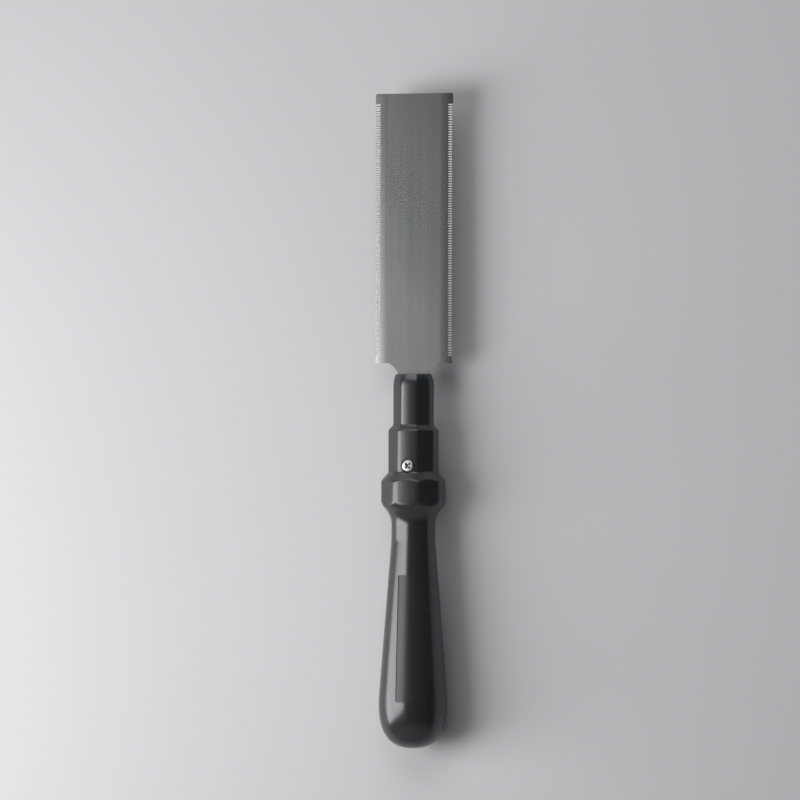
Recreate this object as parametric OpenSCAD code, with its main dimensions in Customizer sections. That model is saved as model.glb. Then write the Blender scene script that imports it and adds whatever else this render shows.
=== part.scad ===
// Flush cut saw: a thin, flexible, double-edged blade that one screw clamps between the two
// moulded halves of a straight handle. The saw lies flat. +Y runs from the handle to the tip
// of the blade, +Z is the side with the screw's head, and Z = 0 is the surface it lies on.

/* [Blade] */
// Width of the blade over the tips of its teeth
blade_w = 31.3; // [28:0.1:34]
// Length of the blade's full width, from its shoulders to its tip
blade_len = 106.3; // [90:0.1:130]
// Thickness of the spring steel
blade_t = 0.4; // [0.35:0.05:0.6]
// Radius of the blade's four outer corners
corner_r = 0.6; // [0.3:0.1:1]
// Distance from the shoulders to the front end of the handle
shoulder_len = 4.2; // [3.8:0.1:4.6]
// Radius of the hollow that leads from each shoulder into the tang
shoulder_r = 7; // [6.9:0.1:8]

/* [Teeth] */
// Distance from one tooth to the next
tooth_pitch = 0.975; // [0.9:0.005:1.4]
// Depth of a tooth from its tip to its gullet
tooth_depth = 0.6; // [0.4:0.05:0.8]
// Plain edge left at the tip and at the heel of each toothed edge
plain_len = 3; // [2:0.1:5]
// Width of the strip beside each toothed edge that is ground thinner
ground_w = 4.8; // [3:0.1:5]
// Steel that the grinding takes off each face at the very edge
ground_depth = 0.1; // [0.05:0.01:0.12]

/* [Tang] */
// Width of the tang
tang_w = 12; // [11:0.1:12.3]
// Length of the tang inside the handle
tang_len = 44; // [41:0.1:46]
// Length of the tang's flared root inside the handle
root_len = 2.2; // [1.8:0.1:2.3]
// Chamfer on the two corners of the tang's end
tang_chamfer = 1.2; // [0.6:0.1:2]
// Gap round the tang's edges in its pocket
tang_gap = 0.2; // [0.1:0.05:0.3]

/* [Handle front] */
// Width across the flats of the eight-sided neck
neck_af = 15.1; // [14.8:0.1:16]
// Distance from the front end to the chamfer up to the body
neck_len = 20.1; // [17:0.1:24]
// Length of the neck that tapers to the front end
nose_len = 5.1; // [3:0.1:8]
// How much the taper takes off each flat at the front end
nose_taper = 0.5; // [0.2:0.1:0.6]
// Chamfer round the front end
nose_chamfer = 0.5; // [0.3:0.1:0.8]
// Width across the flats of the eight-sided body round the screw
body_af = 18.7; // [17.5:0.1:20]
// Length of the chamfer between the neck and the body
step_len = 1.9; // [1:0.1:3]

/* [Guard] */
// Width across the flats of the eight-sided guard
guard_af = 24; // [22:0.1:26]
// Distance from the front end to the guard's front rim
guard_pos = 42.1; // [41.5:0.1:44]
// Length of the guard from its front rim to its rear rim
guard_len = 7.8; // [6:0.1:10]
// Slope of the cone that leads up to the guard
flare_angle = 41; // [35:1:50]
// Slope at the guard's rear rim, where its round shoulder starts
rim_angle = 11; // [5:1:20]
// Slope of the cone behind the guard
cone_angle = 40; // [35:1:50]
// Radius of the guard's round rear shoulder
rim_round_r = 5.5; // [4:0.1:7]
// Radius of the hollow between the cone and the waist
hollow_r = 9.6; // [7:0.1:10]

/* [Grip] */
// Length of the whole handle
handle_len = 147.2; // [142:0.1:160]
// Diameter of the round waist behind the guard
waist_d = 17.3; // [16:0.1:18.5]
// Distance from the front end to the start of the grip's taper
taper_pos = 65.4; // [63:0.1:68]
// Diameter of the grip where the butt starts to round off
grip_d = 26.5; // [24:0.1:29]
// Length of the rounded butt
butt_len = 22.8; // [18:0.1:26]

/* [Label recess] */
// Width of the recess in the grip's front face
recess_w = 7.8; // [6:0.1:9]
// Length of the recess
recess_len = 49.3; // [40:0.1:52]
// Distance from the front end to the recess
recess_pos = 79; // [74:0.1:82]
// Depth of the recess under the round of the grip
recess_depth = 0.4; // [0.3:0.05:0.8]

/* [Shell] */
// Wall of the hollow grip
wall = 3; // [2.4:0.1:3.4]
// Solid plastic between the tang's pocket and the hollow grip
bulkhead_t = 3; // [2:0.1:4]
// Thickness of the cross ribs
rib_t = 1.4; // [1:0.1:2]
// Distance from one cross rib to the next
rib_pitch = 13; // [11:0.5:16]
// Diameter of the window through the cross ribs
window_d = 7; // [5:0.1:8]
// Width of the fine groove along the joint of the two halves
seam_w = 0.3; // [0.2:0.05:0.5]
// Depth of the groove along the joint
seam_depth = 0.25; // [0.15:0.05:0.4]
// Diameter of the moulded locating pins
pin_d = 2.5; // [2:0.1:3]
// Length of the locating pins
pin_len = 4; // [3:0.1:5]
// Diameter of the bosses that carry the pins and their sockets
boss_d = 5.6; // [5:0.1:6.5]
// Radial gap between a pin and its socket
pin_gap = 0.05; // [0.02:0.01:0.1]
// Room left in a socket past the end of its pin
pin_room = 0.5; // [0.3:0.1:1]

/* [Clamp screw] */
// Nominal diameter of the screw's thread
screw_d = 2.5; // [2:0.1:3]
// Length of the screw under its head
screw_len = 16; // [15.5:0.1:16.5]
// Distance from the front end to the screw
screw_pos = 36; // [34:0.1:36.5]
// Diameter of the pan head
head_d = 4.8; // [4.4:0.1:5.2]
// Height of the pan head
head_h = 2; // [1.7:0.1:2.2]
// Depth of the head's seat under the flat of the body
seat_depth = 1.6; // [1.2:0.1:2]
// Radial gap round the head in its seat
seat_gap = 0.4; // [0.3:0.05:0.6]
// Width over two opposite wings of the cross recess
cross_w = 2.7; // [2:0.1:3]
// Thickness of a wing of the cross recess
wing_t = 0.8; // [0.5:0.05:1]
// Depth of the cross recess
cross_depth = 1.3; // [0.9:0.1:1.4]
// Radial gap round the shank in the handle
shank_gap = 0.1; // [0.05:0.01:0.1]
// Gap at each side of the shank in the tang's open slot
slot_gap = 0.2; // [0.1:0.05:0.3]

/* [Clamp nut] */
// Width across the flats of the nut
nut_af = 5; // [4.5:0.1:5.5]
// Thickness of the nut
nut_t = 2; // [1.6:0.1:2.4]
// Depth of the nut's pocket under the flat of the body
pocket_depth = 4; // [3.5:0.1:4.5]
// Gap at each flat of the nut in its pocket
nut_gap = 0.12; // [0.05:0.01:0.2]
// Radial gap between the screw's thread and the nut
thread_gap = 0.05; // [0.02:0.01:0.1]

/* [Hidden] */
$fn = 96;

// One overrun serves every cut.
over = 1;

plastic_color = "#26282b";
steel_color = "#a2a3a1";
screw_color = "#d4d5d6";

// The handle's stations, measured from its front end along its axis
body_pos = neck_len + step_len;
rim_pos = guard_pos + guard_len;
butt_pos = handle_len - butt_len;
hollow_pos = tang_len + bulkhead_t;

// The flats' edges are rounded by a round that is this share larger than the flats.
edge_share = 1.07;
neck_r = neck_af / 2;
body_r = body_af / 2;
guard_r = guard_af / 2;
waist_r = waist_d / 2;
rim_r = guard_r * edge_share;

// The butt's curve: the higher the power, the squarer the butt
butt_power = 2.5;
butt_steps = 18;
taper_slope = (grip_d - waist_d) / 2 / (butt_pos - taper_pos);
arc_steps = 6;

function taper_r(s) = waist_r + (s - taper_pos) * taper_slope;

// An arc about [r, s], from one angle to the other
function arc(centre, r, from, to) =
    [for (i = [0:arc_steps]) let (a = from + (to - from) * i / arc_steps)
        centre + r * [cos(a), sin(a)]];

// The grip's tapered and rounded end as [radius, station] pairs, kept off its surface by inset
function butt_curve(inset) =
    [for (i = [0:butt_steps])
        let (
            a = 90 * i / butt_steps,
            s = butt_pos + (butt_len - inset) * pow(sin(a), 2 / butt_power)
        )
        [(taper_r(s) - inset) * pow(cos(a), 2 / butt_power), s]];

// Height of the handle's axis over the surface that its widest place lies on
axis_z = max([for (p = butt_curve(0)) p[0]]);

// The saw's length is centred on Y = 0.
front_y = (handle_len - shoulder_len - blade_len) / 2;

// The guard's shoulder, cone and hollow meet tangentially, which places the waist.
shoulder_centre = [rim_r - rim_round_r * cos(rim_angle), rim_pos - rim_round_r * sin(rim_angle)];
cone_start = shoulder_centre + rim_round_r * [cos(cone_angle), sin(cone_angle)];
cone_drop = cone_start[0] - waist_r - hollow_r * (1 - cos(cone_angle));
waist_pos = cone_start[1] + cone_drop / tan(cone_angle) + hollow_r * sin(cone_angle);

// The flare's foot is buried in the body by a share of the body's radius.
foot_share = 0.85;
foot_r = body_r * foot_share;
foot_pos = guard_pos - (rim_r - foot_r) / tan(flare_angle);

// Toothed edge
tooth_n = floor((blade_len - 2 * plain_len) / tooth_pitch);
teeth_pos = shoulder_len + (blade_len - tooth_n * tooth_pitch) / 2;
// Pull teeth: the tip stands over this share of the pitch, counted from the handle's side.
rake_share = 0.3;

// Ribs and bosses of the hollow grip
first_rib = waist_pos;
rib_n = floor((butt_pos + butt_len / 2 - first_rib) / rib_pitch) + 1;
pin_stations = [first_rib + rib_pitch * 1.5, first_rib + rib_pitch * 4.5];
socket_depth = pin_len + pin_room;

// Clamp screw and nut, as heights over the handle's axis
seat_z = body_r - seat_depth;
nut_z = -(body_r - pocket_depth);
head_side_share = 0.35;
thread_chamfer = screw_d / 8;
nut_corner_r = nut_af / 2 / cos(30);
nut_chamfer = nut_t / 6;

// Places its children where the handle's front end crosses its axis.
module at_handle() translate([0, front_y, axis_z]) children();

// Places its children on the screw's axis.
module at_screw() at_handle() translate([0, -screw_pos, 0]) children();

// A round body from [radius, station] pairs
module turned(points) rotate([90, 0, 0]) rotate_extrude() polygon(points);

// An eight-sided body from [half width, station] pairs, with one flat facing up
module eight_sided(points) {
    outline = concat([for (p = points) [p[0], -p[1]]],
        [for (i = [len(points) - 1:-1:0]) [-points[i][0], -points[i][1]]]);
    intersection_for (a = [0, 45, 90, 135])
        rotate([0, a, 0])
            linear_extrude(2 * guard_af, center = true)
                polygon(outline);
}

// Neck and body: nose taper, neck, chamfer and body
function front_points(share, inset) = [
    [(neck_r - nose_taper - nose_chamfer) * share - inset, inset],
    [(neck_r - nose_taper) * share - inset, nose_chamfer + inset],
    [neck_r * share - inset, nose_len],
    [neck_r * share - inset, neck_len],
    [body_r * share - inset, body_pos],
    [body_r * share - inset, guard_pos],
];

// Guard with its front flare and round rear shoulder, the cone and the hollow to the waist
function guard_points(inset) = concat(
    [[0, foot_pos], [foot_r - inset, foot_pos], [rim_r - inset, guard_pos]],
    [for (p = arc(shoulder_centre, rim_round_r, rim_angle, cone_angle)) p - [inset, 0]],
    [for (p = arc([waist_r + hollow_r, waist_pos], hollow_r, 180 + cone_angle, 180))
        p - [inset, 0]],
    [[0, waist_pos]]
);

// Grip with a core that reaches into the guard, so that the two are one body
function grip_points(inset) = concat(
    [[0, rim_pos], [waist_r - inset, rim_pos], [waist_r - inset, taper_pos]],
    butt_curve(inset)
);

// The handle's outer form, kept off its surface by inset
module handle_form(inset = 0) {
    intersection() {
        eight_sided(front_points(1, inset));
        turned(concat([[0, inset]], front_points(edge_share, inset), [[0, guard_pos]]));
    }
    intersection() {
        rotate([90, 0, 0])
            rotate([0, 0, 22.5])
                cylinder(r = (guard_r - inset) / cos(22.5), h = waist_pos, $fn = 8);
        turned(guard_points(inset));
    }
    turned(grip_points(inset));
}

// The hollow of the guard and the grip
module hollow_form() {
    cone_foot = rim_pos + (guard_r - waist_r) / tan(cone_angle);
    turned(concat(
        [
            [0, hollow_pos],
            [guard_r - wall, hollow_pos],
            [guard_r - wall, rim_pos],
            [waist_r - wall, cone_foot],
            [waist_r - wall, taper_pos],
        ],
        butt_curve(wall)
    ));
}

// Cross ribs with a round window through them
module ribs() {
    difference() {
        for (i = [0:rib_n - 1])
            translate([0, -(first_rib + i * rib_pitch), 0])
                rotate([90, 0, 0])
                    cylinder(r = axis_z, h = rib_t, center = true);
        rotate([90, 0, 0])
            cylinder(d = window_d, h = handle_len);
    }
}

// A boss at each locating pin, from the joint to the wall
module bosses() {
    for (s = pin_stations)
        translate([0, -s, 0])
            cylinder(d = boss_d, h = 2 * axis_z, center = true);
}

// The space on one side of the joint: side is 1 for the front half and -1 for the back half
module side_of_joint(side) {
    box = [2 * guard_af, handle_len + 2 * over, guard_af];
    translate([-box[0] / 2, over - box[1], side > 0 ? 0 : -box[2]])
        cube(box);
}

// One moulded half with its hollow, ribs, bosses, groove along the joint and screw hole
module shell_half(side) {
    difference() {
        intersection() {
            handle_form();
            side_of_joint(side);
        }
        difference() {
            translate([-guard_af, over - handle_len - 2 * over, -seam_w / 2])
                cube([2 * guard_af, handle_len + 2 * over, seam_w]);
            handle_form(seam_depth);
        }
        difference() {
            hollow_form();
            ribs();
            bosses();
        }
        tang_pocket();
        translate([0, -screw_pos, 0])
            cylinder(d = screw_d + 2 * shank_gap, h = 2 * guard_af, center = true);
    }
}

// Right edge of the tang and its root, from the tang's end to the shoulder, widened by gap
function tang_edge(gap) =
    let (
        half = tang_w / 2 + gap,
        rise = asin((root_len + shoulder_len) / shoulder_r)
    )
    concat(
        [[half - tang_chamfer, -tang_len - gap], [half, tang_chamfer - tang_len - gap]],
        arc([half + shoulder_r, -root_len], shoulder_r, 180, 180 - rise)
    );

// Right edge of the blade's full width, from the heel to the tip
function toothed_edge() =
    let (half = blade_w / 2, tip = shoulder_len + blade_len)
    concat(
        arc([half - corner_r, shoulder_len + corner_r], corner_r, -90, 0),
        [for (i = [0:tooth_n - 1], k = [0, 1])
            [half - (k == 0 ? tooth_depth : 0),
                teeth_pos + (i + (k == 0 ? 0 : rake_share)) * tooth_pitch]],
        [[half, teeth_pos + tooth_n * tooth_pitch]],
        arc([half - corner_r, tip - corner_r], corner_r, 0, 90)
    );

// Both edges of an outline from its right one
function both_edges(right) =
    concat(right, [for (i = [len(right) - 1:-1:0]) [-right[i][0], right[i][1]]]);

// The pocket for the tang, half in each shell
module tang_pocket() {
    linear_extrude(blade_t, center = true)
        polygon(both_edges(tang_edge(tang_gap)));
}

module blade() {
    half = blade_w / 2;
    slope = ground_depth / ground_w;
    color(steel_color)
        at_handle()
            difference() {
                linear_extrude(blade_t, center = true)
                    difference() {
                        polygon(both_edges(concat(tang_edge(0), toothed_edge())));
                        translate([0, -screw_pos])
                            circle(d = screw_d + 2 * slot_gap);
                        translate([-screw_d / 2 - slot_gap, -tang_len - over])
                            square([screw_d + 2 * slot_gap, tang_len + over - screw_pos]);
                    }
                for (face = [0, 1], edge = [0, 1])
                    mirror([0, 0, face])
                        mirror([edge, 0, 0])
                            rotate([90, 0, 0])
                                translate([0, 0, -shoulder_len - blade_len - over])
                                    linear_extrude(blade_len + 2 * over)
                                        polygon([
                                            [half - ground_w, blade_t / 2],
                                            [half + over, blade_t / 2 - slope * (ground_w + over)],
                                            [half + over, blade_t / 2 + over],
                                        ]);
            }
}

module front_shell() {
    color(plastic_color)
        at_handle()
            difference() {
                shell_half(1);
                translate([0, -screw_pos, seat_z])
                    cylinder(d = head_d + 2 * seat_gap, h = seat_depth + over);
                // The recess is equally deep all over, so its floor is as round as the grip.
                difference() {
                    translate([-recess_w / 2, -recess_pos - recess_len, 0])
                        cube([recess_w, recess_len, axis_z + over]);
                    turned(grip_points(recess_depth));
                }
                for (s = pin_stations)
                    translate([0, -s, -over])
                        cylinder(d = pin_d + 2 * pin_gap, h = socket_depth + over);
            }
}

module back_shell() {
    color(plastic_color)
        at_handle() {
            difference() {
                shell_half(-1);
                translate([0, -screw_pos, nut_z - pocket_depth - over])
                    rotate([0, 0, 30])
                        cylinder(r = nut_corner_r + nut_gap / cos(30), h = pocket_depth + over, $fn = 6);
            }
            for (s = pin_stations)
                translate([0, -s, -pin_len])
                    cylinder(d = pin_d, h = 2 * pin_len);
        }
}

module clamp_screw() {
    dome = [for (i = [0:arc_steps]) let (a = 90 * i / arc_steps)
        [head_d / 2 * cos(a), head_h * (head_side_share + (1 - head_side_share) * sin(a))]];
    color(screw_color)
        at_screw() {
            difference() {
                translate([0, 0, seat_z])
                    rotate_extrude()
                        polygon(concat([[0, 0], [head_d / 2, 0]], dome));
                for (a = [0, 90])
                    translate([0, 0, seat_z + head_h])
                        rotate([90, 0, a])
                            linear_extrude(wing_t, center = true)
                                polygon([
                                    [-cross_w / 2, over],
                                    [-cross_w / 2, 0],
                                    [0, -cross_depth],
                                    [cross_w / 2, 0],
                                    [cross_w / 2, over],
                                ]);
            }
            translate([0, 0, seat_z - screw_len])
                rotate_extrude()
                    polygon([
                        [0, 0],
                        [screw_d / 2 - thread_chamfer, 0],
                        [screw_d / 2, thread_chamfer],
                        [screw_d / 2, screw_len],
                        [0, screw_len],
                    ]);
        }
}

module clamp_nut() {
    color(screw_color)
        at_screw()
            translate([0, 0, nut_z - nut_t])
                difference() {
                    intersection() {
                        rotate([0, 0, 30])
                            cylinder(r = nut_corner_r, h = nut_t, $fn = 6);
                        rotate_extrude()
                            polygon([
                                [0, 0],
                                [nut_af / 2, 0],
                                [nut_corner_r, nut_chamfer],
                                [nut_corner_r, nut_t - nut_chamfer],
                                [nut_af / 2, nut_t],
                                [0, nut_t],
                            ]);
                    }
                    translate([0, 0, -over])
                        cylinder(r = screw_d / 2 + thread_gap, h = nut_t + 2 * over);
                }
}

blade();
front_shell();
back_shell();
clamp_screw();
clamp_nut();
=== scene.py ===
import math

import bmesh
import bpy
from mathutils import Matrix, Vector


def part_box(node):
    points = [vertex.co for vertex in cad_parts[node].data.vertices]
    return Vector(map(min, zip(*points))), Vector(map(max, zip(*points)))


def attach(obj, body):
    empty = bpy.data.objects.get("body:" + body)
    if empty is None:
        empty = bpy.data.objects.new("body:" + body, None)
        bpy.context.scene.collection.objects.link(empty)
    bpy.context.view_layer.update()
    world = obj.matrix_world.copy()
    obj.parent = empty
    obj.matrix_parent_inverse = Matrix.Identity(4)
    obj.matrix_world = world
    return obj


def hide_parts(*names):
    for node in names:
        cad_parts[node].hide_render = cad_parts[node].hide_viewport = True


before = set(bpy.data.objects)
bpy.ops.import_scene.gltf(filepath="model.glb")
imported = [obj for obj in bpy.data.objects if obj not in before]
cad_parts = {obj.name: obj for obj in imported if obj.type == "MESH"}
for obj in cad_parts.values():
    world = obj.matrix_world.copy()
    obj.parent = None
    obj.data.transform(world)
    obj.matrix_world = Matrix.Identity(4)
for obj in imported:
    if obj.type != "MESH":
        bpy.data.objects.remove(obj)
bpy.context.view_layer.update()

# Back half of the handle
# One of two near-black plastic mouldings that meet in the blade's plane. Eight flats run over its
# neck, body and guard, and the grip is round. It holds half of the tang and the nut's pocket.
MM = 0.001
handle_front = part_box("front_shell")[1].y
axis_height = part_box("front_shell")[0].z
handle_len = 147.2 * MM

# Half widths across the flats, and stations measured from the front end towards the butt
neck_half = 7.55 * MM
neck_len = 20.1 * MM
nose_len = 5.1 * MM
nose_drop = 1.0 * MM
nose_power = 2.5
step_len = 1.9 * MM
body_half = 9.35 * MM
guard_half = 12.0 * MM
guard_pos = 42.1 * MM
guard_len = 7.8 * MM
flare_angle = math.radians(41)
shoulder_angle = math.radians(11)
cone_angle = math.radians(40)
shoulder_r = 5.5 * MM
hollow_r = 9.6 * MM
waist_r = 8.65 * MM
taper_pos = 65.4 * MM
butt_r = 13.25 * MM
butt_len = 22.8 * MM
butt_power = 2.5

# The eight edges are rounded off by a round that is this share wider than the flats.
edge_share = 1.07
edge_blend = 0.16 * MM
flat_crown = 0.16 * MM
crease_blend = 0.35 * MM
seam_half = 0.15 * MM
seam_depth = 0.2 * MM

rim_r = guard_half * edge_share
rim_pos = guard_pos + guard_len
butt_pos = handle_len - butt_len
taper_slope = (butt_r - waist_r) / (butt_pos - taper_pos)
shoulder_mid = Vector((rim_r - shoulder_r * math.cos(shoulder_angle),
                       rim_pos - shoulder_r * math.sin(shoulder_angle)))
cone_start = shoulder_mid + shoulder_r * Vector((math.cos(cone_angle), math.sin(cone_angle)))
cone_drop = cone_start.x - waist_r - hollow_r * (1 - math.cos(cone_angle))
hollow_start = cone_start.y + cone_drop / math.tan(cone_angle)
waist_pos = hollow_start + hollow_r * math.sin(cone_angle)


def soft_min(a, b, blend):
    overlap = max(blend - abs(a - b), 0) / blend
    return min(a, b) - overlap * overlap * blend / 4


def soft_max(a, b, blend):
    return -soft_min(-a, -b, blend)


def flat_half(s):
    """Half width across the flats of the nose, the neck and the body"""
    neck = neck_half - nose_drop * max(1 - s / nose_len, 0) ** nose_power
    step = neck_half + (s - neck_len) * (body_half - neck_half) / step_len
    return soft_min(soft_max(neck, step, crease_blend), body_half, crease_blend)


def guard_round(s):
    """Radius of the flare, the rim, the round shoulder, the cone and the hollow behind it"""
    flare = rim_r - (guard_pos - s) * math.tan(flare_angle)
    if s < rim_pos:
        rear = rim_r
    elif s < cone_start.y:
        rear = shoulder_mid.x + math.sqrt(shoulder_r ** 2 - (s - shoulder_mid.y) ** 2)
    elif s < hollow_start:
        rear = cone_start.x - (s - cone_start.y) * math.tan(cone_angle)
    else:
        rear = waist_r + hollow_r - math.sqrt(max(hollow_r ** 2 - (waist_pos - s) ** 2, 0))
    return soft_min(flare, rear, crease_blend)


def outer_radius(s, angle):
    """Distance from the axis to the handle's surface at a station, in a direction round the axis"""
    if s >= waist_pos:
        return waist_r + max(s - taper_pos, 0) * taper_slope
    across = (angle + math.pi / 8) % (math.pi / 4) - math.pi / 8
    crown = flat_crown * (1 - (across * 8 / math.pi) ** 2)
    guard = soft_min(guard_half / math.cos(across) + crown, guard_round(s), crease_blend)
    if s > guard_pos:
        return guard
    half = flat_half(s)
    body = soft_min(half / math.cos(across) + crown, half * edge_share, edge_blend)
    return soft_max(body, guard, crease_blend)


def run(start, end, step):
    count = max(round((end - start) / step), 1)
    return [start + (end - start) * i / count for i in range(count)]


# Stations lie close together where the form turns, and the butt's follow its curve. Each stretch has
# its end and the distance of its stations.
stretches = [
    (nose_len, 0.3 * MM), (19.4 * MM, 2.4 * MM), (22.8 * MM, 0.17 * MM), (37 * MM, 2.4 * MM),
    (waist_pos, 0.22 * MM), (taper_pos - 2 * MM, 1.3 * MM), (taper_pos + 3 * MM, 0.5 * MM),
    (butt_pos, 3.4 * MM),
]
starts = [0] + [end for end, step in stretches]
stations = [s for start, (end, step) in zip(starts, stretches) for s in run(start, end, step)]
butt_steps = 40
edge_fan = [0.5, 1.0, 1.9, 2.4]
turns = sorted(
    {i * 1.5 for i in range(1, 120)}
    | {22.5 + 45 * k + side * fan for k in range(4) for side in (-1, 1) for fan in edge_fan}
)


def ring(s, scale, side):
    """One ring of the outer surface, from the seam on the +X side over the front or back to the other"""
    def at(radius, angle, lift=None):
        x = radius * math.cos(angle)
        z = radius * math.sin(angle) if lift is None else lift
        return (x, handle_front - s, axis_height + side * z)

    def radius(angle):
        return outer_radius(min(s, handle_len), angle) * scale

    first = radius(0)
    lip = min(seam_half, first * math.sin(math.radians(1)))
    notch = first - min(seam_depth, first / 3)
    ends = [(notch, 0, 0), (math.sqrt(first ** 2 - lip ** 2), 0, lip)]
    points = [at(*end) for end in ends]
    points += [at(radius(math.radians(t)), math.radians(t)) for t in turns]
    points += [at(-end[0], 0, end[2]) for end in reversed(ends)]
    return points


def mesh_object(name, bm):
    bmesh.ops.recalc_face_normals(bm, faces=bm.faces)
    mesh = bpy.data.meshes.new(name)
    bm.to_mesh(mesh)
    bm.free()
    made = bpy.data.objects.new(name, mesh)
    bpy.context.scene.collection.objects.link(made)
    return made


def half_form(name, side):
    """Closed outer form of one half: side is 1 for the front and -1 for the back"""
    rings = [ring(s, 1, side) for s in stations]
    for i in range(butt_steps):
        a = math.pi / 2 * i / butt_steps
        s = butt_pos + butt_len * math.sin(a) ** (2 / butt_power)
        rings.append(ring(s, math.cos(a) ** (2 / butt_power), side))
    bm = bmesh.new()
    rows = [[bm.verts.new(p) for p in points] for points in rings]
    pole = bm.verts.new((0, handle_front - handle_len, axis_height))
    for row, following in zip(rows, rows[1:]):
        for j in range(len(row) - 1):
            bm.faces.new((row[j], row[j + 1], following[j + 1], following[j]))
    for j in range(len(rows[-1]) - 1):
        bm.faces.new((rows[-1][j], rows[-1][j + 1], pole))
    bm.faces.new(rows[0])
    bm.faces.new([row[0] for row in rows] + [pole] + [row[-1] for row in reversed(rows)])
    return mesh_object(name, bm)


def prism(name, outline, low, high):
    """Closed prism on an outline of (x, y) pairs, between two heights"""
    bm = bmesh.new()
    base = [bm.verts.new((x, y, low)) for x, y in outline]
    top = [bm.verts.new((x, y, high)) for x, y in outline]
    for i in range(len(outline)):
        j = (i + 1) % len(outline)
        bm.faces.new((base[i], base[j], top[j], top[i]))
    bm.faces.new(base)
    bm.faces.new(top)
    return mesh_object(name, bm)


def circle(radius, middle, count=72, turn=0.0):
    steps = [turn + 2 * math.pi * i / count for i in range(count)]
    return [(middle[0] + radius * math.cos(a), middle[1] + radius * math.sin(a)) for a in steps]


def arc(middle, radius, start, end, steps=10):
    """Points of an arc, with its angles in degrees"""
    angles = [math.radians(start + (end - start) * i / steps) for i in range(steps + 1)]
    return [(middle[0] + radius * math.cos(a), middle[1] + radius * math.sin(a)) for a in angles]


def combine(piece, tool, operation="DIFFERENCE"):
    """Cuts the tool out of the piece, or joins it to the piece, and removes the tool"""
    step = piece.modifiers.new("combine", "BOOLEAN")
    step.object = tool
    step.operation = operation
    step.solver = "MANIFOLD"
    depsgraph = bpy.context.evaluated_depsgraph_get()
    mesh = bpy.data.meshes.new_from_object(piece.evaluated_get(depsgraph))
    mesh.name = piece.name
    piece.modifiers.clear()
    piece.data = mesh
    bpy.data.objects.remove(tool)


def shade(piece, limit=32, finish=None):
    """Smooth shading with sharp edges where the faces turn by more than the limit, in degrees"""
    bm = bmesh.new()
    bm.from_mesh(piece.data)
    for face in bm.faces:
        face.smooth = True
    for edge in bm.edges:
        edge.smooth = len(edge.link_faces) == 2 and edge.calc_face_angle() < math.radians(limit)
    bm.to_mesh(piece.data)
    bm.free()
    if finish:
        piece.data.materials.clear()
        piece.data.materials.append(finish)


# The tang's pocket and the screw's bore run through both halves.
tang_half = 6.0 * MM
tang_len = 44.0 * MM
tang_chamfer = 1.2 * MM
root_len = 2.2 * MM
neck_hollow_r = 7.0 * MM
heel_pos = 4.2 * MM
pocket_gap = 0.2 * MM
blade_half_t = 0.2 * MM
screw_pos = 36.0 * MM
screw_y = handle_front - screw_pos
bore_r = 1.35 * MM


def tang_side(gap):
    """Right edge of the tang from its end to the shoulder, as (x, y) from the handle's front end"""
    half = tang_half + gap
    rise = math.degrees(math.asin((root_len + heel_pos) / neck_hollow_r))
    return [(half - tang_chamfer, -tang_len - gap), (half, tang_chamfer - tang_len - gap)] + arc(
        (half + neck_hollow_r, -root_len), neck_hollow_r, 180, 180 - rise)


def hollow_out(half):
    """Cuts the tang's pocket and the screw's bore into one half"""
    right = [(x, handle_front + y) for x, y in tang_side(pocket_gap)]
    outline = right + [(-x, y) for x, y in reversed(right)]
    combine(half, prism("pocket", outline, axis_height - blade_half_t, axis_height + blade_half_t))
    bore = circle(bore_r, (0, screw_y))
    combine(half, prism("bore", bore, axis_height - guard_half, axis_height + guard_half))


class Wire:
    """A shader socket on which arithmetic adds Math nodes"""

    def __init__(self, finish, socket):
        self.finish = finish
        self.socket = socket

    def math(self, operation, *values):
        return self.finish.add("ShaderNodeMath", {"operation": operation}, dict(enumerate(values)))

    def __add__(self, other):
        return self.math("ADD", self, other)

    def __sub__(self, other):
        return self.math("SUBTRACT", self, other)

    def __rsub__(self, other):
        return self.math("SUBTRACT", other, self)

    def __mul__(self, other):
        return self.math("MULTIPLY", self, other)

    __radd__ = __add__
    __rmul__ = __mul__

    def above(self, other):
        return self.math("GREATER_THAN", self, other)

    def size(self):
        return self.math("ABSOLUTE", self)

    def ramp(self, low, high):
        """0 below low and 1 above high, with a smooth rise between them"""
        return self.finish.add("ShaderNodeMapRange", {"interpolation_type": "SMOOTHSTEP"},
                               {"Value": self, "From Min": low, "From Max": high})


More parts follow.
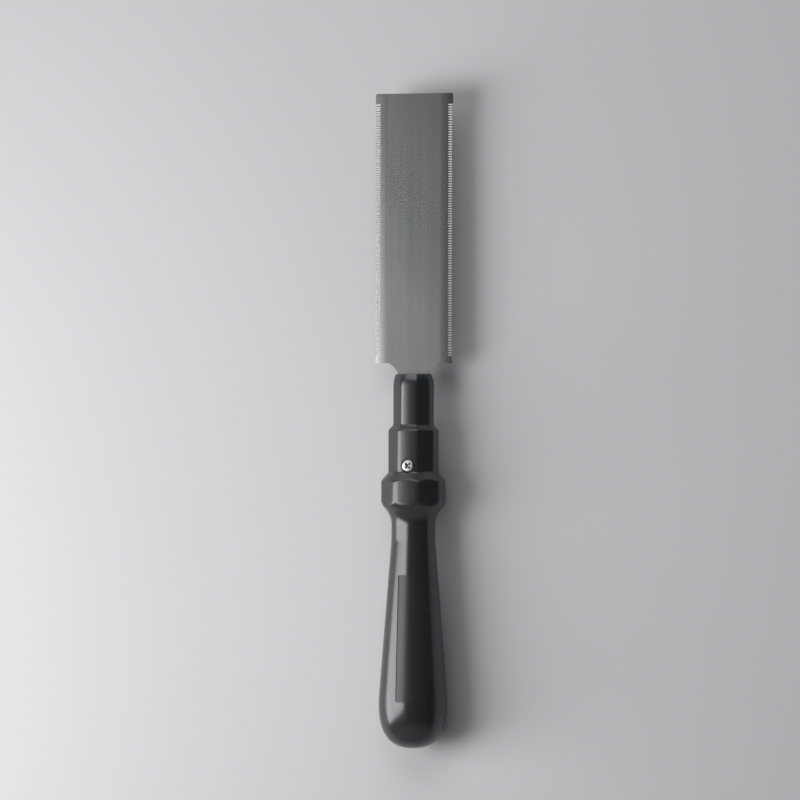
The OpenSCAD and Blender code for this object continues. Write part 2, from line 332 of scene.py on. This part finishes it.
class Finish:
    """A material, and the one method that adds nodes to it"""

    def __init__(self, name, **constants):
        self.material = bpy.data.materials.new(name)
        self.material.use_nodes = True
        self.tree = self.material.node_tree
        self.shader = self.tree.nodes["Principled BSDF"]
        self.feed(self.shader, constants)
        self.place = self.add("ShaderNodeTexCoord", output="Object")
        self.across, self.along, self.up = (
            self.add("ShaderNodeSeparateXYZ", {}, {0: self.place}, output=i) for i in range(3))

    def feed(self, node, values):
        for key, value in values.items():
            target = node.inputs[key.replace("_", " ") if isinstance(key, str) else key]
            if isinstance(value, Wire):
                self.tree.links.new(value.socket, target)
            else:
                target.default_value = value

    def add(self, kind, settings=None, values=None, output=0):
        node = self.tree.nodes.new(kind)
        for key, value in (settings or {}).items():
            setattr(node, key, value)
        self.feed(node, values or {})
        return Wire(self, node.outputs[output])

    def grain(self, stretch, scale, detail=2.0):
        """Noise with one scale for each axis, about 0.5 on average"""
        vector = self.add("ShaderNodeMapping", {}, {"Vector": self.place, "Scale": stretch})
        return self.add("ShaderNodeTexNoise", {}, {"Vector": vector, "Scale": scale, "Detail": detail})

    def blend(self, factor, a, b):
        node = {"data_type": "RGBA", "clamp_factor": True}
        return self.add("ShaderNodeMix", node, {0: factor, 6: a, 7: b}, output=2)

    def bump(self, height, distance, strength=1.0, normal=None):
        values = {"Height": height, "Distance": distance, "Strength": strength}
        if normal is not None:
            values["Normal"] = normal
        return self.add("ShaderNodeBump", {}, values)

    def surface(self, **values):
        self.feed(self.shader, values)
        return self.material


def handle_plastic(name, ior=1.6, dull=0.0):
    """Satin near-black moulding with a fine spark-eroded texture and rub marks"""
    finish = Finish(name, IOR=ior)
    spark = finish.grain((1, 1, 1), 5200.0, 3.0)
    cloud = finish.grain((1, 0.35, 1), 90.0, 4.0)
    rubs = finish.grain((1, 0.04, 1), 2600.0, 3.0).ramp(0.62, 0.74) * cloud.ramp(0.45, 0.65)
    color = finish.blend(cloud, (0.0165, 0.0175, 0.0195, 1), (0.022, 0.0235, 0.026, 1))
    color = finish.blend(rubs * 0.5, color, (0.045, 0.047, 0.05, 1))
    rough = 0.17 + dull + cloud * 0.05 + spark * 0.04 + rubs * 0.08
    normal = finish.bump(spark, 0.006 * MM, 0.35, finish.bump(rubs, 0.004 * MM, 0.3))
    return finish.surface(Base_Color=color, Roughness=rough, Normal=normal)


nut_af = 5.0 * MM
nut_gap = 0.12 * MM
nut_pocket_depth = 4.0 * MM
hex_turn = math.pi / 6

back_half = half_form("back_half", -1)
hollow_out(back_half)
nut_hole = circle((nut_af / 2 + nut_gap) / math.cos(hex_turn), (0, screw_y), 6, hex_turn)
combine(back_half, prism("nut_hole", nut_hole, axis_height - guard_half,
                         axis_height - body_half + nut_pocket_depth))
shade(back_half, finish=handle_plastic("back_plastic"))
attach(back_half, "handle")
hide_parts("back_shell")

# Clamp nut
# A small plated hexagon nut that sits in the back half's pocket and draws the two halves together.
# Its thread is cut with the same pitch and phase as the screw's.
nut_t = 2.0 * MM
nut_top = axis_height - body_half + nut_pocket_depth
thread_r = 1.25 * MM
thread_pitch = 0.45 * MM
thread_depth = 0.26 * MM
thread_gap = 0.04 * MM
screw_len = 16.0 * MM
seat_depth = 1.6 * MM
seat_z = axis_height + body_half - seat_depth


def threaded_rod(name, low, high, grow=0.0, taper=0.0):
    """A closed rod with a helical thread between two heights, its lower end drawn in by taper"""
    columns = 32
    rows = round((high - low) / thread_pitch * 8)
    bm = bmesh.new()
    grid = []
    for i in range(rows + 1):
        z = low + (high - low) * i / rows
        limit = thread_r + grow - max(taper - (z - low), 0)
        row = []
        for j in range(columns):
            turn = j / columns
            phase = ((z - seat_z) / thread_pitch - turn) % 1
            groove = min(max(1.25 * (1 - abs(2 * phase - 1)) - 0.1, 0), 1)
            radius = min(thread_r + grow - thread_depth * groove, limit)
            angle = 2 * math.pi * turn
            row.append(bm.verts.new((radius * math.cos(angle), screw_y + radius * math.sin(angle), z)))
        grid.append(row)
    for row, following in zip(grid, grid[1:]):
        for j in range(columns):
            k = (j + 1) % columns
            bm.faces.new((row[j], row[k], following[k], following[j]))
    bm.faces.new(grid[0])
    bm.faces.new(grid[-1])
    return mesh_object(name, bm)


def turned(name, profile, count=72):
    """A closed round body on the screw's axis from (radius, height) pairs, both ends on the axis"""
    bm = bmesh.new()
    rows = []
    for radius, z in profile:
        if radius == 0:
            rows.append([bm.verts.new((0, screw_y, z))])
        else:
            rows.append([bm.verts.new((x, y, z)) for x, y in circle(radius, (0, screw_y), count)])
    for row, following in zip(rows, rows[1:]):
        for j in range(count):
            corners = [row[j % len(row)], row[(j + 1) % len(row)],
                       following[(j + 1) % len(following)], following[j % len(following)]]
            bm.faces.new(list(dict.fromkeys(corners)))
    return mesh_object(name, bm)


def plated_steel(name, dull=None):
    """Bright nickel plate with fine turning marks, a few dull specks, and painted shade where a mask is
    given
    """
    finish = Finish(name, Metallic=1.0)
    specks = finish.grain((1, 1, 1), 3800.0, 3.0)
    marks = finish.grain((1, 1, 6), 2200.0, 2.0)
    color = finish.blend(specks, (0.38, 0.39, 0.4, 1), (0.46, 0.467, 0.475, 1))
    rough = 0.3 + specks.ramp(0.35, 0.75) * 0.1
    # Painted shade: the plate is darkened where the given mask is 1.
    if dull:
        color = finish.blend(dull(finish) * 0.5, color, (0.2, 0.2, 0.205, 1))
    return finish.surface(Base_Color=color, Roughness=rough, Normal=finish.bump(marks, 0.004 * MM, 0.4))


corner_r = nut_af / 2 / math.cos(hex_turn)
nut_chamfer = nut_t / 6
nut = prism("nut", circle(corner_r, (0, screw_y), 6, hex_turn), nut_top - nut_t, nut_top)
combine(nut, turned("nut_form", [
    (0, nut_top - nut_t), (nut_af / 2, nut_top - nut_t), (corner_r * 1.02, nut_top - nut_t + nut_chamfer),
    (corner_r * 1.02, nut_top - nut_chamfer), (nut_af / 2, nut_top), (0, nut_top)]), "INTERSECT")
combine(nut, threaded_rod("nut_thread", nut_top - 1.25 * nut_t, nut_top + nut_t / 4, thread_gap))
shade(nut, finish=plated_steel("nut_plate"))
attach(nut, "clamp_nut")
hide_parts("clamp_nut")

# Blade
# A strip of thin spring steel, toothed along both long edges. A strip beside each edge is ground
# thinner, and every gullet is filed on both faces. The forked tang slides in between the halves.
blade_half = 15.65 * MM
blade_len = 106.3 * MM
tip_pos = heel_pos + blade_len
outer_corner_r = 0.6 * MM
ground_w = 4.8 * MM
ground_power = 1.8
ground_steps = 5
edge_half_t = 0.05 * MM
tooth_pitch = 0.975 * MM
tooth_depth = 0.6 * MM
rake_share = 0.3
plain_len = 3.0 * MM
tooth_count = int((blade_len - 2 * plain_len) / tooth_pitch)
teeth_pos = heel_pos + (blade_len - tooth_count * tooth_pitch) / 2
fork_half = 1.45 * MM
file_len = 2.0 * MM
file_lead = 0.3 * MM
file_start_depth = 0.05 * MM
file_share = 0.88
spare = MM / 10


def half_thickness(x):
    """Half of the blade's thickness at a distance from its centre line"""
    ground = max(abs(x) - (blade_half - ground_w), 0) / ground_w
    return blade_half_t - (blade_half_t - edge_half_t) * ground ** ground_power


def blade_blank():
    """The blank with its teeth cut through, as flat panels: the middle, then narrow ones to each edge"""
    borders = [blade_half - ground_w * (1 - i / ground_steps) for i in range(ground_steps)]
    tang = tang_side(0)
    fork = arc((0, -screw_pos), fork_half, 180, 0, 16)
    middle = [(fork_half, -tang_len)] + tang + [(borders[0], heel_pos), (borders[0], tip_pos)]
    middle += [(-x, y) for x, y in reversed(middle)] + fork
    corner = blade_half - outer_corner_r
    edge = [(borders[-1], heel_pos)]
    edge += arc((corner, heel_pos + outer_corner_r), outer_corner_r, -90, 0, 5)
    for i in range(tooth_count):
        gullet = teeth_pos + i * tooth_pitch
        edge += [(blade_half - tooth_depth, gullet), (blade_half, gullet + rake_share * tooth_pitch)]
    edge += [(blade_half, teeth_pos + tooth_count * tooth_pitch)]
    edge += arc((corner, tip_pos - outer_corner_r), outer_corner_r, 0, 90, 5) + [(borders[-1], tip_pos)]
    strips = [[(a, heel_pos), (b, heel_pos), (b, tip_pos), (a, tip_pos)]
              for a, b in zip(borders, borders[1:])]
    panels = [(middle, 0)]
    for mirror in (1, -1):
        panels += [([(mirror * x, y) for x, y in panel], 1) for panel in strips + [edge]]
    bm = bmesh.new()
    for face_side in (1, -1):
        for outline, index in panels:
            verts = [bm.verts.new((x, handle_front + y, axis_height + face_side * half_thickness(x)))
                     for x, y in outline]
            bm.faces.new(verts).material_index = index
    bmesh.ops.remove_doubles(bm, verts=bm.verts, dist=0.001 * MM)
    rims = [edge for edge in bm.edges if edge.is_boundary and edge.verts[0].co.z > axis_height]
    below = {(round(v.co.x, 7), round(v.co.y, 7)): v for v in bm.verts if v.co.z < axis_height}
    for edge in rims:
        a, b = edge.verts
        face = bm.faces.new((a, b, below[round(b.co.x, 7), round(b.co.y, 7)],
                             below[round(a.co.x, 7), round(a.co.y, 7)]))
        face.material_index = 1 if abs(a.co.x) > borders[0] + spare else 0
    return mesh_object("blade", bm)


def file_strokes():
    """What one file stroke takes off the gullets that face each other, on both faces: four V prisms"""
    outer = blade_half + spare
    start = blade_half - file_len
    lead = start + file_lead
    depth = 1.5 * edge_half_t + spare / 10
    path = [(start, half_thickness(start)), (lead, half_thickness(lead) - file_start_depth),
            (outer, -edge_half_t / 2)]
    spread = (-(1 - rake_share) * file_share * tooth_pitch, rake_share * file_share * tooth_pitch)
    bm = bmesh.new()
    for side in (1, -1):
        for face_side in (1, -1):
            rows = []
            for x, z in path:
                corners = [(0, z), (spread[0], z + depth), (spread[1], z + depth)]
                rows.append([bm.verts.new((side * x, handle_front + teeth_pos + y,
                                           axis_height + face_side * height)) for y, height in corners])
            for row, following in zip(rows, rows[1:]):
                for j in range(3):
                    bm.faces.new((row[j - 1], row[j], following[j], following[j - 1]))
            bm.faces.new(rows[0])
            bm.faces.new(rows[-1])
    return mesh_object("file_strokes", bm)


def teeth_tree(filed):
    """Repeats the file's strokes along the edges and takes them off the blank"""
    tree = bpy.data.node_groups.new("filed_teeth", "GeometryNodeTree")
    for name, kind in (("Blank", "Geometry"), ("Strokes", "Object"), ("Teeth", "Int"), ("Pitch", "Float")):
        tree.interface.new_socket(name, in_out="INPUT", socket_type="NodeSocket" + kind)
    tree.interface.new_socket("Blade", in_out="OUTPUT", socket_type="NodeSocketGeometry")

    def node(kind, settings=None, links=None):
        made = tree.nodes.new(kind)
        for key, value in (settings or {}).items():
            setattr(made, key, value)
        for key, value in (links or {}).items():
            if isinstance(value, bpy.types.NodeSocket):
                tree.links.new(value, made.inputs[key])
            else:
                made.inputs[key].default_value = value
        return made

    given = node("NodeGroupInput")
    step = node("ShaderNodeCombineXYZ", {}, {"Y": given.outputs["Pitch"]})
    line = node("GeometryNodeMeshLine", {"mode": "OFFSET"},
                {"Count": given.outputs["Teeth"], "Offset": step.outputs[0]})
    stroke = node("GeometryNodeObjectInfo", {}, {"Object": given.outputs["Strokes"]})
    rows = node("GeometryNodeInstanceOnPoints", {},
                {"Points": line.outputs[0], "Instance": stroke.outputs["Geometry"]})
    solid = node("GeometryNodeRealizeInstances", {}, {"Geometry": rows.outputs[0]})
    marked = node("GeometryNodeStoreNamedAttribute", {"data_type": "BOOLEAN", "domain": "FACE"},
                  {"Geometry": solid.outputs[0], "Name": "filed", "Value": True})
    cut = node("GeometryNodeMeshBoolean", {"operation": "DIFFERENCE", "solver": "EXACT"},
               {"Mesh 1": given.outputs["Blank"], "Mesh 2": marked.outputs[0], "Self Intersection": True})
    real = node("GeometryNodeRealizeInstances", {}, {"Geometry": cut.outputs[0]})
    named = node("GeometryNodeInputNamedAttribute", {"data_type": "BOOLEAN"}, {"Name": "filed"})
    painted = node("GeometryNodeSetMaterial", {},
                   {"Geometry": real.outputs[0], "Selection": named.outputs[0], "Material": filed})
    node("NodeGroupOutput", {}, {0: painted.outputs[0]})
    return tree


def satin_steel():
    """Spring steel with a fine brushed finish along its length and soft stains"""
    finish = Finish("satin_steel", Metallic=1.0)
    brushed = finish.grain((1, 0.01, 1), 640.0, 0.0)
    broad = finish.grain((1, 0.02, 1), 240.0, 0.0)
    cloud = finish.grain((1, 0.6, 1), 55.0, 2.0)
    color = finish.blend(brushed * 0.3 + cloud * 0.7, (0.28, 0.28, 0.283, 1), (0.34, 0.338, 0.335, 1))
    rough = 0.17 + brushed * 0.02 + cloud * 0.03 - broad * 0.02
    return finish.surface(Base_Color=color, Roughness=rough)


def ground_steel():
    """The strips beside the teeth, ground across, with a painted sheen that makes them brighter towards
    the edge
    """
    finish = Finish("ground_steel", Metallic=1.0)
    lines = finish.grain((0.03, 1, 1), 5200.0, 3.0)
    # Painted sheen: the colour lightens towards the blade's edges.
    bright = finish.across.size().ramp(blade_half - ground_w, blade_half)
    color = finish.blend(bright * 0.7 + lines * 0.3, (0.2, 0.2, 0.2, 1), (0.23, 0.229, 0.226, 1))
    rough = 0.2 + lines * 0.08 - bright * 0.03
    return finish.surface(Base_Color=color, Roughness=rough, Normal=finish.bump(lines, 0.005 * MM, 0.4))


def filed_steel():
    """Freshly filed faces of the teeth"""
    finish = Finish("filed_steel", Metallic=1.0)
    lines = finish.grain((0.1, 1, 1), 9000.0, 2.0)
    color = finish.blend(lines, (0.5, 0.5, 0.497, 1), (0.6, 0.6, 0.593, 1))
    return finish.surface(Base_Color=color, Roughness=0.25 + lines * 0.1)


blade = blade_blank()
strokes = file_strokes()
filed = filed_steel()
for material in (satin_steel(), ground_steel(), filed):
    blade.data.materials.append(material)
teeth = blade.modifiers.new("teeth", "NODES")
teeth.node_group = teeth_tree(filed)
wanted = {"Strokes": strokes, "Teeth": tooth_count, "Pitch": tooth_pitch}
for socket in teeth.node_group.interface.items_tree:
    if socket.name in wanted:
        teeth[socket.identifier] = wanted[socket.name]
cut_blade = bpy.data.meshes.new_from_object(blade.evaluated_get(bpy.context.evaluated_depsgraph_get()))
blade.modifiers.clear()
blade.data = cut_blade
bpy.data.objects.remove(strokes)
shade(blade, 3)
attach(blade, "blade")
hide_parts("blade")

# Front half of the handle
# The other moulding, facing the camera. It has the counterbored seat of the screw's head in its body
# and a long shallow recess in the grip, left bare.
seat_r = 2.8 * MM
recess_half_w = 3.9 * MM
recess_len = 49.3 * MM
recess_pos = 79.0 * MM
recess_depth = 0.25 * MM
recess_corner_r = 0.4 * MM
recess_slope = 0.1 * MM

front_half = half_form("front_half", 1)
hollow_out(front_half)
combine(front_half, prism("seat", circle(seat_r, (0, screw_y)), seat_z, seat_z + 3 * seat_depth))


def recess_outline(radius):
    """A rectangle with round corners, wider by the change of their radius"""
    w = recess_half_w - recess_corner_r
    near = handle_front - recess_pos - recess_corner_r
    far = near - recess_len + 2 * recess_corner_r
    corners = [(w, near), (-w, near), (-w, far), (w, far)]
    return [point for i, middle in enumerate(corners)
            for point in arc(middle, radius, 90 * i, 90 * i + 90, 5)]


def recess_tool():
    """A block with sloping sides, without the grip's core, so that the recess is equally deep all over"""
    bm = bmesh.new()
    low = recess_outline(recess_corner_r - recess_slope / 2)
    high = recess_outline(recess_corner_r + recess_slope * 1.5)
    levels = []
    for outline, rise in ((low, None), (low, 0), (high, 2 * recess_depth), (high, butt_r)):
        level = []
        for x, y in outline:
            floor_r = outer_radius(handle_front - y, 0) - recess_depth
            lift = 0 if rise is None else math.sqrt(floor_r ** 2 - recess_half_w ** 2) + rise
            level.append(bm.verts.new((x, y, axis_height + lift)))
        levels.append(level)
    for level, following in zip(levels, levels[1:]):
        for j, vert in enumerate(level):
            bm.faces.new((level[j - 1], vert, following[j], following[j - 1]))
    bm.faces.new(levels[0])
    bm.faces.new(levels[-1])
    tool = mesh_object("recess", bm)
    bm = bmesh.new()
    rows = []
    for s in (taper_pos, handle_len):
        rim = circle(outer_radius(s, 0) - recess_depth, (0, axis_height), 240)
        rows.append([bm.verts.new((x, handle_front - s, z)) for x, z in rim])
        bm.faces.new(rows[-1])
    for j, vert in enumerate(rows[0]):
        bm.faces.new((rows[0][j - 1], vert, rows[1][j], rows[1][j - 1]))
    combine(tool, mesh_object("core", bm))
    return tool


combine(front_half, recess_tool())
shade(front_half, finish=handle_plastic("front_plastic"))

# The recess has a duller finish than the rest.
front_half.data.materials.append(handle_plastic("recess_plastic", 1.4, 0.12))
for face in front_half.data.polygons:
    s = handle_front - face.center.y
    radius = math.hypot(face.center.x, face.center.z - axis_height)
    inset = outer_radius(min(max(s, 0), handle_len), 0) - radius
    if recess_pos < s < recess_pos + recess_len and abs(face.center.x) < recess_half_w:
        if recess_depth / 2 < inset < recess_depth * 2 and face.center.z > axis_height:
            face.material_index = 1
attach(front_half, "handle")
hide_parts("front_shell")

# Clamp screw
# A bright M2.5 pan head screw, 16 mm long, with a cross recess that stands turned by 45 degrees. It
# passes through the fork of the tang, and its thread runs to the nut in the back half.
head_r = 2.4 * MM
head_h = 2.0 * MM
head_side_share = 0.4
head_squareness = 0.3
head_foot = 0.12 * MM
head_lift = 0.02 * MM
cross_half_w = 1.35 * MM
cross_depth = 1.3 * MM
wing_half_t = 0.4 * MM
cross_turn = 45
cross_foot_share = 0.35
wing_foot_share = 0.7
core_r = 0.75 * MM
core_depth_share = 1.15
core_top_share = 1.3
cross_over = 0.5 * MM
shank_overlap = 0.3 * MM


def head_profile(steps=20):
    dome = []
    for i in range(steps + 1):
        a = math.pi / 2 * i / steps
        lift = head_side_share + (1 - head_side_share) * math.sin(a) ** head_squareness
        dome.append((head_r * max(math.cos(a), 0) ** head_squareness, seat_z + head_h * lift))
    dome[-1] = (0, seat_z + head_h)
    under = seat_z + head_lift
    return [(0, under), (head_r - head_foot, under), (head_r, seat_z + head_foot)] + dome


def wing(name, across):
    """One pair of the cross recess's wings, narrower towards its bottom"""
    top = seat_z + head_h + cross_over
    bottom = seat_z + head_h - cross_depth
    grow = cross_over / cross_depth
    levels = [(bottom, cross_foot_share * cross_half_w, wing_foot_share * wing_half_t),
              (top, cross_half_w * (1 + grow), wing_half_t * (1 + grow / 2))]
    bm = bmesh.new()
    rows = []
    for z, w, t in levels:
        corners = [Vector((w, t, z)), Vector((-w, t, z)), Vector((-w, -t, z)), Vector((w, -t, z))]
        turn = Matrix.Rotation(math.radians(cross_turn + (90 if across else 0)), 4, "Z")
        rows.append([bm.verts.new(Vector((0, screw_y, 0)) + turn @ corner) for corner in corners])
    for j in range(4):
        k = (j + 1) % 4
        bm.faces.new((rows[0][j], rows[0][k], rows[1][k], rows[1][j]))
    bm.faces.new(rows[0])
    bm.faces.new(rows[1])
    return mesh_object(name, bm)


def cross_recess_shade(finish):
    """1 in the cross recess, below its rim, where shade is painted on the plate"""
    reach_share = 1.08
    rim_share = 0.93
    off_axis = finish.along - screw_y
    reach = reach_share * cross_half_w
    outside = (finish.across * finish.across + off_axis * off_axis).above(reach ** 2)
    rim = seat_z + rim_share * head_h
    return (1 - outside) * (finish.up.above(seat_z) - finish.up.above(rim))


screw = turned("screw", head_profile())
combine(screw, wing("wing_one", False))
combine(screw, wing("wing_two", True))
head_top = seat_z + head_h
core_top = head_top + cross_over
combine(screw, turned("core", [(0, head_top - core_depth_share * cross_depth), (core_r, head_top),
                               (core_r * core_top_share, core_top), (0, core_top)]))
shank = threaded_rod("shank", seat_z - screw_len, seat_z + shank_overlap, 0.0, thread_depth)
combine(screw, shank, "UNION")
# The screw's plate gets painted shade in its cross recess.
shade(screw, finish=plated_steel("screw_plate", cross_recess_shade))
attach(screw, "clamp_screw")
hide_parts("clamp_screw")

# Floor
# A plain pale surface under the saw.


def pale_surface():
    finish = Finish("pale_surface")
    cloud = finish.grain((1, 1, 1), 6.0, 3.0)
    color = finish.blend(cloud, (0.54, 0.544, 0.548, 1), (0.57, 0.572, 0.575, 1))
    return finish.surface(Base_Color=color, Roughness=0.75 + cloud * 0.1)


floor_half = 4.0
floor_t = 5.0 * MM
floor = prism("floor", [(-floor_half, -floor_half), (floor_half, -floor_half),
                        (floor_half, floor_half), (-floor_half, floor_half)], -floor_t, 0)
floor.data.materials.append(pale_surface())

# Light
# Four soft panels: the key beside the handle on its left, which the left flats and the crown of the
# grip mirror, a weak one overhead, which the blade mirrors, and two beyond the blade's tip. The
# surround is dim.


def panel(name, lean, distance, size, power, place=(0, 0), spin=0):
    """A soft light that leans from straight overhead towards -X and +Y, in degrees, aimed at a place"""
    light = bpy.data.lights.new(name, "AREA")
    light.shape = "RECTANGLE"
    light.size, light.size_y = size
    light.energy = power
    lamp = bpy.data.objects.new(name, light)
    turn = Matrix.Rotation(math.radians(lean[0]), 4, "Y") @ Matrix.Rotation(math.radians(-lean[1]), 4, "X")
    spot = Matrix.Translation((place[0], place[1], axis_height))
    lamp.matrix_world = (spot @ turn @ Matrix.Translation((0, 0, distance))
                         @ Matrix.Rotation(math.radians(spin), 4, "Z"))
    bpy.context.scene.collection.objects.link(lamp)


panel("key", (-53, 0), 0.6, (0.8, 0.34), 5.25, (0, -0.12), 15)
panel("overhead", (-27, 0), 1.2, (0.7, 1.0), 0.72)
panel("fill", (0, 38), 1.2, (0.9, 0.6), 3.2)
panel("horizon", (-25, 62), 1.5, (2.2, 0.9), 5.0)


class Surround(Finish):
    """The world, with the same way of adding nodes"""

    def __init__(self, name):
        self.world = bpy.data.worlds.new(name)
        self.world.use_nodes = True
        self.tree = self.world.node_tree
        self.tree.nodes.clear()
        self.shader = self.tree.nodes.new("ShaderNodeOutputWorld")


dim_strength = 0.08
end_strength = 0.36


def dim_surround():
    """Dim all round, and brighter beyond both ends of the saw where its surfaces mirror it"""
    surround = Surround("surround")
    color = (0.94, 0.97, 1.0, 1)
    direction = surround.add("ShaderNodeTexCoord", output="Generated")
    along = surround.add("ShaderNodeSeparateXYZ", {}, {0: direction}, output=1)
    mirrored = surround.add("ShaderNodeLightPath", output="Is Glossy Ray")
    dim = surround.add("ShaderNodeBackground", {}, {"Color": color, "Strength": dim_strength})
    bright = surround.add("ShaderNodeBackground", {}, {"Color": color, "Strength": end_strength})
    mixed = surround.add("ShaderNodeMixShader", {},
                         {0: mirrored * along.size().ramp(0.3, 0.75), 1: dim, 2: bright})
    surround.feed(surround.shader, {"Surface": mixed})
    return surround.world


bpy.context.scene.world = dim_surround()
bpy.context.scene.view_settings.view_transform = "Standard"

# Camera
# It looks down on the saw through a long lens, with the blade upwards in the picture, from a little
# to the right, so that the saw seems turned to the left about its length.
view_turn = math.radians(14)
view_roll = math.radians(0.14)
lens = 200.0
sensor = 36.0
picture_px = 800
px_per_mm = 2.54
saw_px = Vector((413.7, 420.65))

camera_data = bpy.data.cameras.new("camera")
camera_data.lens = lens
camera_data.sensor_width = sensor
camera = bpy.data.objects.new("camera", camera_data)
right = Vector((math.cos(view_turn), 0, -math.sin(view_turn)))
back = Vector((math.sin(view_turn), 0, math.cos(view_turn)))
up = Vector((0, 1, 0))
offset = (saw_px - Vector((picture_px / 2, picture_px / 2))) / px_per_mm * MM
aim = Vector((0, 0, axis_height)) - right * offset.x + up * offset.y
distance = picture_px / px_per_mm * MM * lens / sensor
turned_right = Matrix.Rotation(view_roll, 3, back) @ right
turned_up = Matrix.Rotation(view_roll, 3, back) @ up
camera.matrix_world = Matrix.Translation(aim + back * distance) @ Matrix(
    (turned_right, turned_up, back)).transposed().to_4x4()
camera_data.clip_start = distance / 20
camera_data.clip_end = distance * 20
bpy.context.scene.collection.objects.link(camera)
bpy.context.scene.camera = camera
